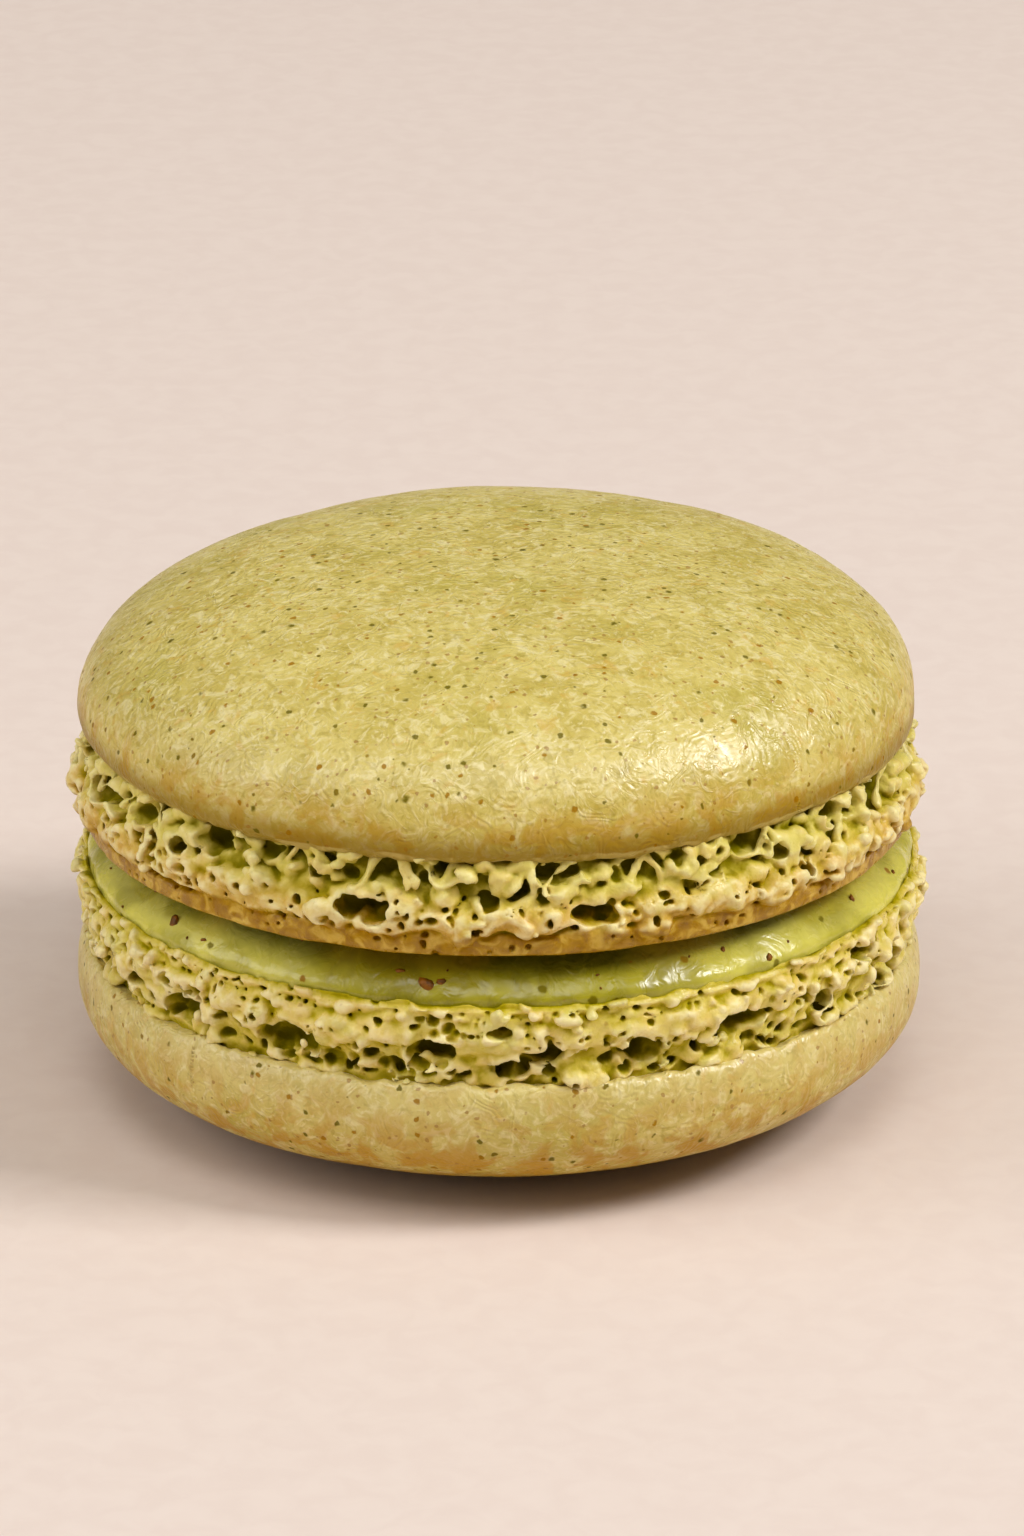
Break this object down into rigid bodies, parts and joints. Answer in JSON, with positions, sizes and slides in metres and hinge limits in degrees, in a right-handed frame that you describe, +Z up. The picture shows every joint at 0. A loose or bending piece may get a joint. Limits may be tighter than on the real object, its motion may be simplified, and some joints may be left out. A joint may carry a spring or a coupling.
{
  "type": "french macaron",
  "caption": "Round pistachio macaron: smooth domed shells with craggy feet, and a band of soft green cream pressed between them.",
  "frame": {"origin": "centre of the flat spot under the lower shell, on the surface that the macaron stands on", "axes": "+Z up through the middle of both domes; -Y towards the side that the picture shows; +X to its right"},
  "size_m": [0.045, 0.045, 0.0289],
  "materials": {
    "upper_shell": "satin baked almond meringue, speckled with ground pistachio",
    "pistachio_cream": "soft glossy pistachio cream with bits of brown nut skin",
    "lower_shell": "satin baked almond meringue, speckled with ground pistachio"
  },
  "bodies": {
    "root": {"top_shell": "upper_shell", "filling": "pistachio_cream", "bottom_shell": "lower_shell"}
  },
  "joints": []
}
